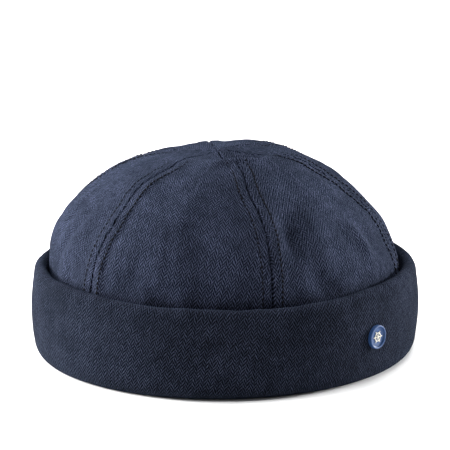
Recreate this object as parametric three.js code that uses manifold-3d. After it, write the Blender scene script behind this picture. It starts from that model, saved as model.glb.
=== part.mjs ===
// A docker cap: a brimless cloth cap whose six-panel crown sits in a wide turned-up cuff, with a small round
// badge riveted to the cuff on the wearer's left.
//
// Millimetres, +Z up. The cap stands on the flat bottom fold of its cuff at z = 0, its front looks along -Y and
// the wearer's left is +X. Azimuths start at the front and grow towards the wearer's left.

import * as THREE from "three";
import { mergeVertices } from "three/addons/utils/BufferGeometryUtils.js";
import Module from "manifold-3d";

const wasm = await Module();
wasm.setup();

// Driving dimensions
const headRadius = 92.6; // mean radius of the cuff's inner leg, for a head 58 cm round
const lengthOverWidth = 1.045; // the cap is an oval, longer from front to back
const clothGap = 0.3; // clearance between neighbouring pieces

const crownCloth = 1.5; // wall of a crown panel
const seamAllowance = { width: 6, thickness: 0.9 }; // cloth pressed open behind each side of a crown seam
const widestAllowance = 0.3; // the share of a panel's width that it narrows to towards the panel's tip
const crownCentreHeight = 43.2; // height of the point that the crown's profile is measured from
const crownEdgeAngle = -17.3; // where the crown's lower edge lies on that profile, hidden behind the cuff
const tipAngle = 89.7; // where a panel's tip ends, just short of the apex
const leanAzimuth = 135; // the direction that the crown's lean is measured in
const tipSlip = { azimuth: -8, out: 7, above: 35 }; // where and how far the tips have slid, and from which angle

const cuffCloth = 1.6; // wall of the folded cuff
const cuffHeight = 49.3;
const cuffFace = { foot: 13.5, rim: 13.4, bow: 1.3 }; // out from the inner leg, and how far the face bows
const rimRoll = { width: 2.9, height: 6.6 }; // half axes of the soft roll at the rim
const outerCorner = { width: 5.2, height: 7.4 }; // half axes of the outer corner of the bottom fold
const innerCorner = { width: 3.4, height: 4 }; // half axes of its corner towards the head
const hiddenLayer = { out: 7.6, end: 11 }; // the layer behind the rim: its place, and how far down it runs

const badgePlace = { azimuth: 93.6, height: 25 };
const badge = { radius: 6.4, thickness: 2.2, rim: 0.8, recess: 0.9, bevel: 0.3 };
const rivet = { radius: 1.1, head: 3, headThickness: 0.7 };
const wheel = { ring: 2.5, hub: 0.8, bar: 0.5, reach: 3.4, thickness: 0.5, spokes: 6 };

// Seams of the crown: one at the centre front, one at the centre back and two on each side.
const seams = [0, 62, 124, 180, 236, 298, 360];
const panelNames = ["front_left", "side_left", "back_left", "back_right", "side_right", "front_right"];

// The crown's outer profile: how far it reaches from its centre at each angle above the horizontal, how far
// the soft cloth has leant to one side there, and how many degrees its seams have turned round the head. A
// smooth curve passes through the rows.
const crownProfile = [
  { angle: -30, reach: 104, lean: 0, turn: -1.5 },
  { angle: -15, reach: 97.4, lean: 0, turn: -1.5 },
  { angle: 0, reach: 97.4, lean: 0.4, turn: -1.5 },
  { angle: 15, reach: 94.7, lean: -2.3, turn: 0.8 },
  { angle: 30, reach: 87.9, lean: -3.4, turn: 1.9 },
  { angle: 45, reach: 81.3, lean: -2.4, turn: -0.5 },
  { angle: 60, reach: 76, lean: -0.4, turn: 1.2 },
  { angle: 75, reach: 70.9, lean: 0.1, turn: 0 },
  { angle: 90, reach: 69.8, lean: 1.4, turn: 0 },
];

// How far the cuff's soft rim rises above its even height, or sags below it, round the cap.
const rimWaves = [
  { azimuth: 0, rise: 0.5 },
  { azimuth: 30, rise: -0.8 },
  { azimuth: 60, rise: -1 },
  { azimuth: 90, rise: 0.4 },
  { azimuth: 120, rise: 0.6 },
  { azimuth: 150, rise: 0 },
  { azimuth: 180, rise: -0.3 },
  { azimuth: 210, rise: 0 },
  { azimuth: 240, rise: 0.3 },
  { azimuth: 270, rise: 0.1 },
  { azimuth: 300, rise: 0.5 },
  { azimuth: 330, rise: 1 },
];

// The crown's main dents and soft folds. Each lies round its azimuth and angle, runs for length, turned from the
// upright, across a width, and stands out by depth, or in where that is below zero.
const crownFolds = [
  { azimuth: 75, angle: 24, length: 30, width: 15, turn: 8, depth: -2.2 },
  { azimuth: 67, angle: 27, length: 30, width: 9, turn: 0, depth: 0.8 },
  { azimuth: 84, angle: 22, length: 30, width: 12, turn: 20, depth: 0.9 },
  { azimuth: 58, angle: 21, length: 26, width: 9, turn: -8, depth: -1.1 },
  { azimuth: 79, angle: 9, length: 18, width: 11, turn: -30, depth: -1.1 },
  { azimuth: 103, angle: 19, length: 36, width: 10, turn: -12, depth: 1.1 },
  { azimuth: 111, angle: 18, length: 34, width: 11, turn: -12, depth: -0.9 },
  { azimuth: 18, angle: 12, length: 30, width: 12, turn: 12, depth: -0.8 },
  { azimuth: -20, angle: 20, length: 38, width: 12, turn: 14, depth: -1 },
  { azimuth: -34, angle: 22, length: 40, width: 13, turn: 16, depth: 0.9 },
  { azimuth: 64, angle: 66, length: 9, width: 42, turn: 0, depth: 1.6 },
  { azimuth: 60, angle: 75, length: 15, width: 34, turn: 0, depth: -2 },
  { azimuth: 150, angle: 24, length: 34, width: 16, turn: 6, depth: -1.2 },
  { azimuth: 205, angle: 18, length: 30, width: 14, turn: -10, depth: -1.1 },
  { azimuth: 262, angle: 26, length: 36, width: 16, turn: 8, depth: -1.2 },
];

// How fine the facets are
const weldDistance = 1e-4; // points closer than this are one point
const allowanceEdge = 0.15; // the share of an allowance's width over which the wall thins beside it
const panelSpans = 6; // across a panel between its two seam allowances
const panelRows = 18;
const cuffSteps = 54;
const faceSpans = 6;
const cornerSpans = 4;
const badgeSides = 24;

const { degToRad, radToDeg, lerp } = THREE.MathUtils;

function clothMaterial() {
  return new THREE.MeshStandardMaterial({ color: 0x2b3144, roughness: 0.95, metalness: 0 });
}

// A point of the oval with the given mean radius, and the outward normal of every such oval there.
function ovalPoint(radius, azimuth) {
  const stretch = Math.sqrt(lengthOverWidth);
  const a = degToRad(azimuth);
  return new THREE.Vector2((radius / stretch) * Math.sin(a), -radius * stretch * Math.cos(a));
}

function ovalNormal(azimuth) {
  const a = degToRad(azimuth);
  return new THREE.Vector2(lengthOverWidth * Math.sin(a), -Math.cos(a)).normalize();
}

// A smooth curve through evenly spaced values, at a place counted in rows. valueAt gives the value of any row.
function smoothly(valueAt, place) {
  const row = Math.floor(place);
  const f = place - row;
  const [before, from, to, after] = [row - 1, row, row + 1, row + 2].map(valueAt);
  const ease = f * f * (3 - 2 * f);
  const bend = ((to - before) * (1 - f) - (after - from) * f) / 2;
  return lerp(from, to, ease) + bend * f * (1 - f);
}

// One column of the crown's profile at any angle, mirrored past its first row and past the apex.
function profileAt(column, angle) {
  const last = crownProfile.length - 1;
  const first = crownProfile[0].angle;
  const spacing = crownProfile[1].angle - first;
  const valueAt = (k) => crownProfile[Math.abs(last - Math.abs(last - k))][column];
  return smoothly(valueAt, (angle - first) / spacing);
}

// The rise of the cuff's rim at any azimuth.
function rimRise(azimuth) {
  const count = rimWaves.length;
  return smoothly((k) => rimWaves[(k + count) % count].rise, (azimuth / 360) * count);
}

// The crown's mean radius at an angle. It falls all the way from the horizontal to the apex.
function crownRadius(angle) {
  return profileAt("reach", angle) * Math.cos(degToRad(angle));
}

// The angle at which the crown has a given mean radius.
function angleOfRadius(radius) {
  let [low, high] = [0, 90];
  while (high - low > 1e-6) {
    const middle = (low + high) / 2;
    if (crownRadius(middle) > radius) low = middle;
    else high = middle;
  }
  return low;
}

// Where a place on the sewn panels lies on the crown's form: the seams turn a little on the way up, and towards
// the tips the cloth has slid to one side.
function placeOnForm(azimuth, angle) {
  const turned = azimuth + profileAt("turn", angle);
  if (angle <= tipSlip.above) return { azimuth: turned, angle };
  const slip = tipSlip.out * THREE.MathUtils.smoothstep(angle, tipSlip.above, 90);
  const direction = degToRad(tipSlip.azimuth);
  const plan = ovalPoint(crownRadius(angle), turned);
  plan.add(new THREE.Vector2(slip * Math.sin(direction), -slip * Math.cos(direction)));
  const stretch = Math.sqrt(lengthOverWidth);
  plan.set(plan.x * stretch, plan.y / stretch);
  return { azimuth: radToDeg(Math.atan2(plan.x, -plan.y)), angle: angleOfRadius(plan.length()) };
}

// The crown's smooth form, before its folds.
function smoothCrown(azimuth, angle) {
  const lean = profileAt("lean", angle);
  const plan = ovalPoint(crownRadius(angle), azimuth);
  return new THREE.Vector3(
    plan.x + lean * Math.sin(degToRad(leanAzimuth)),
    plan.y - lean * Math.cos(degToRad(leanAzimuth)),
    crownCentreHeight + profileAt("reach", angle) * Math.sin(degToRad(angle)),
  );
}

function crownNormal(azimuth, angle) {
  const step = 0.5;
  const middle = Math.min(angle, 90 - 2 * step);
  const aside = smoothCrown(azimuth + step, middle).sub(smoothCrown(azimuth - step, middle));
  const up = smoothCrown(azimuth, middle + step).sub(smoothCrown(azimuth, middle - step));
  return aside.cross(up).normalize();
}

// How far the folds push the cloth out at one place. Each fades as a bell curve along and across itself.
function foldDepth(azimuth, angle) {
  const reach = profileAt("reach", angle);
  let depth = 0;
  for (const fold of crownFolds) {
    const round = THREE.MathUtils.euclideanModulo(azimuth - fold.azimuth + 180, 360) - 180;
    const place = new THREE.Vector2(
      degToRad(round) * reach * Math.cos(degToRad(angle)),
      degToRad(angle - fold.angle) * reach,
    ).rotateAround(new THREE.Vector2(), degToRad(fold.turn));
    depth += fold.depth * Math.exp(-((place.x / (fold.width / 2)) ** 2) - (place.y / (fold.length / 2)) ** 2);
  }
  return depth;
}

// A point of a panel's wall, this far inside its outer face.
function panelPoint(azimuth, angle, inside) {
  const place = placeOnForm(azimuth, angle);
  const out = foldDepth(place.azimuth, place.angle) - inside;
  return smoothCrown(place.azimuth, place.angle).addScaledVector(crownNormal(place.azimuth, place.angle), out);
}

// The triangles between rows of points. They face the reader where the rows climb and each runs to the right.
function patch(rows) {
  const triangles = [];
  for (let r = 0; r + 1 < rows.length; r++) {
    for (let k = 0; k + 1 < rows[r].length; k++) {
      const [a, b, c, d] = [rows[r][k], rows[r][k + 1], rows[r + 1][k + 1], rows[r + 1][k]];
      triangles.push([a, b, c], [a, c, d]);
    }
  }
  return triangles.filter(([a, b, c]) => !a.equals(b) && !b.equals(c) && !c.equals(a));
}

// A closed body from triangles that share their corner points.
function bodyOf(triangles) {
  const geometry = mergeVertices(new THREE.BufferGeometry().setFromPoints(triangles.flat()), weldDistance);
  geometry.computeVertexNormals();
  return geometry;
}

// One crown panel: a long triangle of cloth, wide at the cuff and pointed at the apex. Its wall is thicker over
// the two seam allowances, which are pressed open behind it.
function crownPanel(fromSeam, toSeam) {
  const outer = [];
  const inner = [];
  for (let row = 0; row <= panelRows; row++) {
    const angle = lerp(crownEdgeAngle, tipAngle, row / panelRows);
    const radius = crownRadius(angle);
    const atTip = row === panelRows;
    const inset = atTip ? (toSeam - fromSeam) / 2 : radToDeg(clothGap / 2 / radius);
    const [from, to] = [fromSeam + inset, toSeam - inset];
    const allowance = Math.min(radToDeg(seamAllowance.width / radius), widestAllowance * (to - from));
    const ease = allowanceEdge * allowance;
    const places = [from, from + allowance];
    for (let k = 0; k <= panelSpans; k++) {
      places.push(lerp(from + allowance + ease, to - allowance - ease, k / panelSpans));
    }
    places.push(to - allowance, to);
    const overAllowance = (k) => atTip || k < 2 || k > places.length - 3;
    const wall = (k) => crownCloth + (overAllowance(k) ? seamAllowance.thickness : 0);
    outer.push(places.map((azimuth) => panelPoint(azimuth, angle, 0)));
    inner.push(places.map((azimuth, k) => panelPoint(azimuth, angle, wall(k))));
  }
  const column = (rows, k) => rows.map((row) => row.at(k));
  return bodyOf([
    ...patch(outer),
    ...patch([...inner].reverse()),
    ...patch([inner[0], outer[0]]),
    ...patch([column(outer, 0), column(inner, 0)]),
    ...patch([column(inner, -1), column(outer, -1)]),
  ]);
}

// The middle line of the cuff's cloth, in distance out from its inner leg and height. It starts where the leg
// meets the crown and runs down the leg, round the bottom fold that the cap stands on, up the outer face, over
// the soft roll at the rim and down behind it.
function cuffLine() {
  const half = cuffCloth / 2;
  const crownEdge = smoothCrown(0, crownEdgeAngle).z;
  const rimLevel = cuffHeight - half - rimRoll.height;
  const points = [new THREE.Vector2(0, crownEdge - 2 * clothGap)];
  const add = (curve, spans) => {
    points.push(...curve.getPoints(spans).filter((point) => point.distanceTo(points.at(-1)) > weldDistance));
  };
  const corner = (x, y, size, from, to) => {
    const [start, end] = [degToRad(from), degToRad(to)];
    return new THREE.EllipseCurve(x, y, size.width, size.height, start, end, to < from);
  };
  add(corner(innerCorner.width, half + innerCorner.height, innerCorner, 180, 270), cornerSpans - 1);
  const footStart = cuffFace.foot - outerCorner.width;
  add(corner(footStart, half + outerCorner.height, outerCorner, 270, 360), cornerSpans + 1);
  const foot = points.at(-1);
  const rim = new THREE.Vector2(cuffFace.rim, rimLevel);
  const bow = foot.clone().lerp(rim, 0.5).add(new THREE.Vector2(2 * cuffFace.bow, 0));
  add(new THREE.QuadraticBezierCurve(foot, bow, rim), faceSpans);
  add(corner(rim.x - rimRoll.width, rimLevel, rimRoll, 0, 180), 2 * cornerSpans);
  points.push(new THREE.Vector2(hiddenLayer.out, (rimLevel + hiddenLayer.end) / 2));
  points.push(new THREE.Vector2(hiddenLayer.out, hiddenLayer.end));
  return points;
}

// The outline of the cuff's wall round that line, as one closed ring of points.
function cuffSection() {
  const line = cuffLine();
  const sides = [1, -1].map((side) =>
    line.map((point, k) => {
      const before = line[Math.max(k - 1, 0)];
      const after = line[Math.min(k + 1, line.length - 1)];
      const ahead = after.clone().sub(before).normalize();
      return point.clone().add(new THREE.Vector2(ahead.y, -ahead.x).multiplyScalar((side * cuffCloth) / 2));
    }),
  );
  return [...sides[0], ...sides[1].reverse(), sides[0][0]];
}

// A place on the cuff from its azimuth, its distance out from the inner leg and its height in the even section.
function cuffPoint(azimuth, out, height) {
  const plan = ovalPoint(headRadius, azimuth).addScaledVector(ovalNormal(azimuth), out);
  return new THREE.Vector3(plan.x, plan.y, height + rimRise(azimuth) * (height / cuffHeight) ** 2);
}

// The cuff: one band of cloth, turned up all round and folded over at its rim.
function cuffBand() {
  const section = cuffSection();
  const rows = [];
  for (let step = 0; step <= cuffSteps; step++) {
    const azimuth = (360 * (step % cuffSteps)) / cuffSteps;
    rows.push(section.map((point) => cuffPoint(azimuth, point.x, point.y)));
  }
  return bodyOf(patch(rows.reverse()));
}

// A geometry as a manifold solid, and back.
function toSolid(geometry) {
  const bare = geometry.clone().deleteAttribute("normal").deleteAttribute("uv");
  const merged = mergeVertices(bare, weldDistance);
  const vertProperties = merged.getAttribute("position").array;
  const triVerts = new Uint32Array(merged.index.array);
  return new wasm.Manifold(new wasm.Mesh({ numProp: 3, vertProperties, triVerts }));
}

function toGeometry(solid) {
  const mesh = solid.getMesh();
  const geometry = new THREE.BufferGeometry();
  geometry.setAttribute("position", new THREE.BufferAttribute(mesh.vertProperties, 3));
  geometry.setIndex(new THREE.BufferAttribute(mesh.triVerts, 1));
  geometry.computeVertexNormals();
  return geometry;
}

// The place on the cuff's outer face where the badge sits, with its z axis pointing out of the cloth.
function badgeSeat() {
  const line = cuffLine();
  const face = Math.max(...line.map((point) => point.x)) + cuffCloth / 2;
  const normal = ovalNormal(badgePlace.azimuth);
  const outward = new THREE.Vector3(normal.x, normal.y, 0);
  const up = new THREE.Vector3(0, 0, 1);
  const seat = new THREE.Matrix4().makeBasis(new THREE.Vector3().crossVectors(up, outward), up, outward);
  return seat.setPosition(cuffPoint(badgePlace.azimuth, face + clothGap, badgePlace.height));
}

// The badge with its rivet, turned about its own z axis: a dished disc in front of the cloth, and a post through
// the cloth to a flat head behind it.
function badgeDisc() {
  const { radius, thickness, rim, recess, bevel } = badge;
  const back = -(cuffCloth + 3 * clothGap); // the cloth curves away behind the disc
  const profile = [
    [0, back - rivet.headThickness],
    [rivet.head, back - rivet.headThickness],
    [rivet.head, back],
    [rivet.radius, back],
    [rivet.radius, 0],
    [radius - bevel, 0],
    [radius, bevel],
    [radius, thickness - bevel],
    [radius - bevel, thickness],
    [radius - rim, thickness],
    [radius - rim - bevel, thickness - recess],
    [0, thickness - recess],
  ];
  const points = profile.map(([r, z]) => new THREE.Vector2(r, z));
  return new THREE.LatheGeometry(points, badgeSides).rotateX(Math.PI / 2);
}

// The ornament on the badge: a small ship's wheel with a hub, a ring and handles beyond it, cut from thin sheet.
function wheelPlate() {
  const disc = (radius, thickness) => {
    const sides = badgeSides / 2;
    return toSolid(new THREE.CylinderGeometry(radius, radius, thickness, sides).rotateX(Math.PI / 2));
  };
  const hole = disc(wheel.ring - wheel.bar, 2 * wheel.thickness);
  let plate = disc(wheel.ring, wheel.thickness).subtract(hole).add(disc(wheel.hub, wheel.thickness));
  for (let k = 0; k < wheel.spokes / 2; k++) {
    const bar = new THREE.BoxGeometry(2 * wheel.reach, wheel.bar, wheel.thickness);
    plate = plate.add(toSolid(bar.rotateZ((2 * Math.PI * k) / wheel.spokes)));
  }
  return toGeometry(plate);
}

function named(name, geometry, material) {
  const mesh = new THREE.Mesh(geometry, material);
  mesh.name = name;
  return mesh;
}

const cap = new THREE.Group();

panelNames.forEach((name, k) => {
  cap.add(named(`crown_panel_${name}`, crownPanel(seams[k], seams[k + 1]), clothMaterial()));
});

// The rivet's hole through the cuff's outer face
const seat = badgeSeat();
const holeRadius = rivet.radius + clothGap;
const drill = new THREE.CylinderGeometry(holeRadius, holeRadius, 3 * cuffCloth, badgeSides / 2)
  .rotateX(Math.PI / 2)
  .applyMatrix4(seat);
cap.add(named("cuff", toGeometry(toSolid(cuffBand()).subtract(toSolid(drill))), clothMaterial()));

const badgeGroup = new THREE.Group();
badgeGroup.applyMatrix4(seat);
const enamel = new THREE.MeshStandardMaterial({ color: 0x2a4468, roughness: 0.3, metalness: 0.1 });
const inlay = new THREE.MeshStandardMaterial({ color: 0xd8d2c0, roughness: 0.4, metalness: 0.2 });
badgeGroup.add(named("badge", badgeDisc(), enamel));
const plate = named("badge_wheel", wheelPlate(), inlay);
plate.position.z = badge.thickness - badge.recess + clothGap + wheel.thickness / 2;
badgeGroup.add(plate);
cap.add(badgeGroup);

export default cap;
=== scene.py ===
import math

import bmesh
import bpy
import numpy as np
from mathutils import Matrix, Vector, noise


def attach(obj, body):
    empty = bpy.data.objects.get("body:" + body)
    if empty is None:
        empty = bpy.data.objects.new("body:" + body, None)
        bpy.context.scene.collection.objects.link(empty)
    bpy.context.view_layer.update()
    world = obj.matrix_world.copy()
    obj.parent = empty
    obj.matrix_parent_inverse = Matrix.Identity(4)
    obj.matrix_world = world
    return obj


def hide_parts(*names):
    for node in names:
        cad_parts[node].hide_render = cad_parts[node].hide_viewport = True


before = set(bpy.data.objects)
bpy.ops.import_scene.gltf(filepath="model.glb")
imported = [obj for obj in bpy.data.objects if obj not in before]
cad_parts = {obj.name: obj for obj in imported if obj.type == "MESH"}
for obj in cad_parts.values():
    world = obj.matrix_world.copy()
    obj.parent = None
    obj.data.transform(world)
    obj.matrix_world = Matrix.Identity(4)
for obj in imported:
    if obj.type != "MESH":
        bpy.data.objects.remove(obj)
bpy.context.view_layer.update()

# Crown panels
# Six long triangles of navy herringbone twill, a soft wool blend, cut with the grain up the middle of each
# and sewn edge to edge into a dome. Behind each seam the cloth is pressed open, 6 mm to each side, and
# stitched down just inside its edges, so the seam stands up as a band and puckers along the thread.

MM = 0.001
HEAD_RADIUS = 92.6  # mean radius of the cuff's inner leg; lengths are in millimetres until a mesh is made
LENGTH_OVER_WIDTH = 1.045
SEAMS = [0, 62, 124, 180, 236, 298, 360]
PANELS = ["front_left", "side_left", "back_left", "back_right", "side_right", "front_right"]
CROWN_CENTRE_HEIGHT = 43.2
CROWN_EDGE_ANGLE = -17.3
LEAN_AZIMUTH = math.radians(135)
TIP_SLIP = {"azimuth": math.radians(-8), "out": 7, "above": 35}  # the cloth has slid to one side up there
CROWN_WALL = 1.5
ALLOWANCE = {"width": 6, "thickness": 0.9, "rise": 0.75, "step": 1.6}
SEAM_GROOVE = {"width": 0.42, "depth": 1.7, "open": 0.65, "most_open": 0.1, "tuck": 0.4}
STITCH_GROOVE = {"width": 0.7, "depth": 0.7, "pull": 0.6}
TIP_FADE = (16, 62)  # the stitched bands flatten out between these distances from the apex
TIP_SHARE = {"band": 0.15, "puckers": 0.1}  # what is left of a band there, and of the puckers on a flat one

# The stitches are drawn about twice as thick and long as real ones, so that they show in the render.
STITCH = {"from_seam": 5.2, "pitch": 2.7, "length": 1.9, "radius": 0.5, "proud": 0.1, "tilt": 0.12}
STITCH_SUNK = {"at_tip": 0.55, "where_slack": 0.3}  # how much deeper some stitches lie in the cloth

# How hard each seam is drawn in, from the front one towards the wearer's left, and the row of stitches on
# either side of each seam in the same order.
SEAM_DRAWN = [0.55, 1.05, 0.6, 0.8, 0.8, 0.8]
ROW_DRAWN = [0.5, 0.5, 0.3, 1.1, 0.8, 0.8, 0.8, 0.8, 0.3, 0.3, 0.8, 0.8]
PLAIN_ROW = 0.8  # rows that are drawn in less are slack

# Uneven tension along a seam and the puckers beside it: height, length along the seam, and how far apart
# the noise of two edges is taken, so that no two edges are alike
SEAM_WAVER = {"mean": 0.65, "height": 0.5, "length": 5, "apart": 3.1, "seed": 5}
PUCKERS = [
    {"height": 0.3, "length": 3.2, "apart": 2.3, "seed": 6},
    {"height": 0.45, "length": 7, "apart": 1.9, "seed": 7},
]
PUCKER_SLANT = 0.5  # along the seam for every millimetre away from it
PUCKER_REACH = {"from_seam": 11, "held_by_seam": 1.5, "held": 0.7}  # the seam itself holds most of them down

# Wrinkles of the dressed crown: height, length along x, y and z, and the angles over which they come and go
SOFT_WAVES = {"height": 0.9, "size": (22, 22, 26), "seed": 1}
SMALL_WAVES = {"height": 0.35, "size": (8, 8, 11), "seed": 2}
UPRIGHT_WRINKLES = {"height": 1.3, "size": (6.5, 6.5, 36), "seed": 3, "until": (10, 36)}
LONG_WRINKLES = {"height": 2.1, "size": (9, 9, 70), "seed": 8, "after": (14, 28), "until": (38, 54)}
TOP_WRINKLES = {"height": 0.3, "size": (8, 8, 8), "seed": 4, "after": (56, 68), "until": (74, 84)}
SMOOTHEST = math.radians(45)  # the azimuth where the crown has no long wrinkles
WRINKLE_CIRCLE = 90  # the upright and the long wrinkles are spaced on a circle of this radius

# The crown's outer profile, as in the solids: its reach from the centre, its lean and the turn of its seams.
CROWN_PROFILE = [
    {"angle": -30, "reach": 104, "lean": 0, "turn": -1.5},
    {"angle": -15, "reach": 97.4, "lean": 0, "turn": -1.5},
    {"angle": 0, "reach": 97.4, "lean": 0.4, "turn": -1.5},
    {"angle": 15, "reach": 94.7, "lean": -2.3, "turn": 0.8},
    {"angle": 30, "reach": 87.9, "lean": -3.4, "turn": 1.9},
    {"angle": 45, "reach": 81.3, "lean": -2.4, "turn": -0.5},
    {"angle": 60, "reach": 76, "lean": -0.4, "turn": 1.2},
    {"angle": 75, "reach": 70.9, "lean": 0.1, "turn": 0},
    {"angle": 90, "reach": 69.8, "lean": 1.4, "turn": 0},
]

# Its dents and soft folds, as in the solids: azimuth and angle of the middle in degrees, length, width,
# turn in degrees, and how far the cloth stands out.
CROWN_FOLDS = [
    (75, 24, 30, 15, 8, -2.2),
    (67, 27, 30, 9, 0, 0.8),
    (84, 22, 30, 12, 20, 0.9),
    (58, 21, 26, 9, -8, -1.1),
    (79, 9, 18, 11, -30, -1.1),
    (103, 19, 36, 10, -12, 1.1),
    (111, 18, 34, 11, -12, -0.9),
    (18, 12, 30, 12, 12, -0.8),
    (-20, 20, 38, 12, 14, -1),
    (-34, 22, 40, 13, 16, 0.9),
    (64, 66, 9, 42, 0, 1.6),
    (60, 75, 15, 34, 0, -2),
    (150, 24, 34, 16, 6, -1.2),
    (205, 18, 30, 14, -10, -1.1),
    (262, 26, 36, 16, 8, -1.2),
]

# Smaller creases that only the dressed cap has.
CROWN_CREASES = [
    (-52, 20, 40, 6, 12, 1),
    (-39, 21, 36, 6, 16, 1.1),
    (-30, 18, 34, 5, 16, -1),
    (-21, 20, 26, 6, 18, -1.2),
    (-13, 16, 26, 5, 14, 0.4),
    (73.5, 23, 15, 7, 4, -1.7),
    (68, 26, 22, 5, 2, 0.6),
    (80, 22, 24, 7, 14, 0.6),
    (75, 8, 10, 8, -50, -0.8),
    (104, 18, 26, 5, -18, 0.7),
    (14, 13, 24, 5, 4, 0.55),
    (22, 11, 22, 5, -6, -0.6),
    (31, 15, 26, 5, 6, 0.3),
    (43, 10, 18, 5, 3, -0.3),
    (54, 14, 16, 4, 12, -0.5),
    (70, 14, 14, 4, -20, 0.5),
    (88, 12, 18, 4, 10, -0.4),
    (96, 9, 18, 5, -8, 0.4),
    (-9, 13, 22, 5, 10, -0.4),
    (-48, 16, 26, 6, 6, -0.4),
    (62, 65, 5, 32, 0, 1.2),
    (60, 71.5, 8, 34, 0, -1.4),
    (206, 60, 28, 22, 0, 0.8),
    (230, 60, 28, 18, 0, -1),
]


def smoothly(values, place):
    """A smooth curve through evenly spaced values, with one more at each end, at a place counted in rows."""
    row = np.floor(place).astype(int)
    f = place - row
    before, start, end, after = (np.take(values, row + k, mode="wrap") for k in range(4))
    ease = f * f * (3 - 2 * f)
    bend = ((end - before) * (1 - f) - (after - start) * f) / 2
    return start + (end - start) * ease + bend * f * (1 - f)


def profile_at(column, angle):
    rows = [row[column] for row in CROWN_PROFILE]
    spacing = CROWN_PROFILE[1]["angle"] - CROWN_PROFILE[0]["angle"]
    return smoothly([rows[1], *rows, rows[-2], rows[-3]], (angle - CROWN_PROFILE[0]["angle"]) / spacing)


def oval_point(radius, azimuth):
    stretch = math.sqrt(LENGTH_OVER_WIDTH)
    return radius / stretch * np.sin(azimuth), -radius * stretch * np.cos(azimuth)


def step_up(x, start, end):
    t = np.clip((x - start) / (end - start), 0, 1)
    return t * t * (3 - 2 * t)


def crown_radius(angle):
    return profile_at("reach", angle) * np.cos(np.radians(angle))


def place_on_form(azimuth, angle):
    """Where a place on the sewn panels lies on the crown's form. The seams turn a little on the way up, and
    towards the tips the cloth has slid to one side."""
    turned = azimuth + np.radians(profile_at("turn", angle))
    slip = TIP_SLIP["out"] * step_up(angle, TIP_SLIP["above"], 90) + 0 * turned
    x, y = oval_point(crown_radius(angle), turned)
    stretch = math.sqrt(LENGTH_OVER_WIDTH)
    x = (x + slip * math.sin(TIP_SLIP["azimuth"])) * stretch
    y = (y - slip * math.cos(TIP_SLIP["azimuth"])) / stretch
    # The angle of the slid place is looked up by how far it is from the axis
    quarter = np.linspace(90, 0, 2000)
    slid_angle = np.interp(np.hypot(x, y), crown_radius(quarter), quarter)
    return np.where(slip > 0, np.arctan2(x, -y), turned), np.where(slip > 0, slid_angle, angle)


def smooth_crown(azimuth, angle):
    """The crown's even form, from azimuth in radians and angle in degrees."""
    lean = profile_at("lean", angle)
    x, y = oval_point(crown_radius(angle), azimuth)
    return np.stack([
        x + lean * math.sin(LEAN_AZIMUTH),
        y - lean * math.cos(LEAN_AZIMUTH),
        CROWN_CENTRE_HEIGHT + profile_at("reach", angle) * np.sin(np.radians(angle)) + 0 * x,
    ], -1)


def crown_normal(azimuth, angle):
    """The direction out of the even form. At the apex, where azimuths meet, a place beside it counts."""
    step, middle = 0.5, np.minimum(angle, 89)
    turn = math.radians(step)
    aside = smooth_crown(azimuth + turn, middle) - smooth_crown(azimuth - turn, middle)
    up = smooth_crown(azimuth, middle + step) - smooth_crown(azimuth, middle - step)
    out = np.cross(aside, up)
    return out / np.linalg.norm(out, axis=-1, keepdims=True)


def fold_depth(folds, azimuth, angle):
    """How far the folds of a table push the cloth out. Each fades as a bell curve along and across itself."""
    reach = profile_at("reach", angle)
    pushed = np.zeros(np.broadcast(azimuth, angle).shape)
    for fold_azimuth, fold_angle, length, width, turn, depth in folds:
        away = (np.degrees(azimuth) - fold_azimuth + 180) % 360 - 180
        x = np.radians(away) * reach * np.cos(np.radians(angle))
        y = np.radians(angle - fold_angle) * reach
        c, s = math.cos(math.radians(turn)), math.sin(math.radians(turn))
        across, along = (c * x - s * y) / width, (s * x + c * y) / length
        pushed += depth * np.exp(-4 * across ** 2 - 4 * along ** 2)
    return pushed


SEED_SPACING = 7.3  # between the layers of noise that different seeds read


def rough(points, size, seed):
    """Even noise between about -1 and 1 at each point, with bumps of the given size along each axis."""
    places = np.broadcast_arrays(*points)
    flat = np.stack([place.ravel() / s for place, s in zip(places, size)], -1)
    values = [noise.noise(Vector((x, y, z + SEED_SPACING * seed))) for x, y, z in flat]
    return np.array(values).reshape(places[0].shape)


def waves(kind, points):
    return kind["height"] * rough(points, kind["size"], kind["seed"])


def waves_along_seam(kind, along, side):
    places = along, kind["apart"] * side, 0 * along
    return kind["height"] * rough(places, (kind["length"], 1, 1), kind["seed"])


# The rows of the crown's even form by their distance from its apex
ARC_ANGLES = np.linspace(90, CROWN_PROFILE[0]["angle"], 1200)
ARC_STEPS = np.linalg.norm(np.diff(smooth_crown(0 * ARC_ANGLES, ARC_ANGLES), axis=0), axis=1)
ARC = np.concatenate([[0], np.cumsum(ARC_STEPS)])


def down_from_apex(angle):
    return np.interp(-angle, -ARC_ANGLES, ARC)


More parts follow.
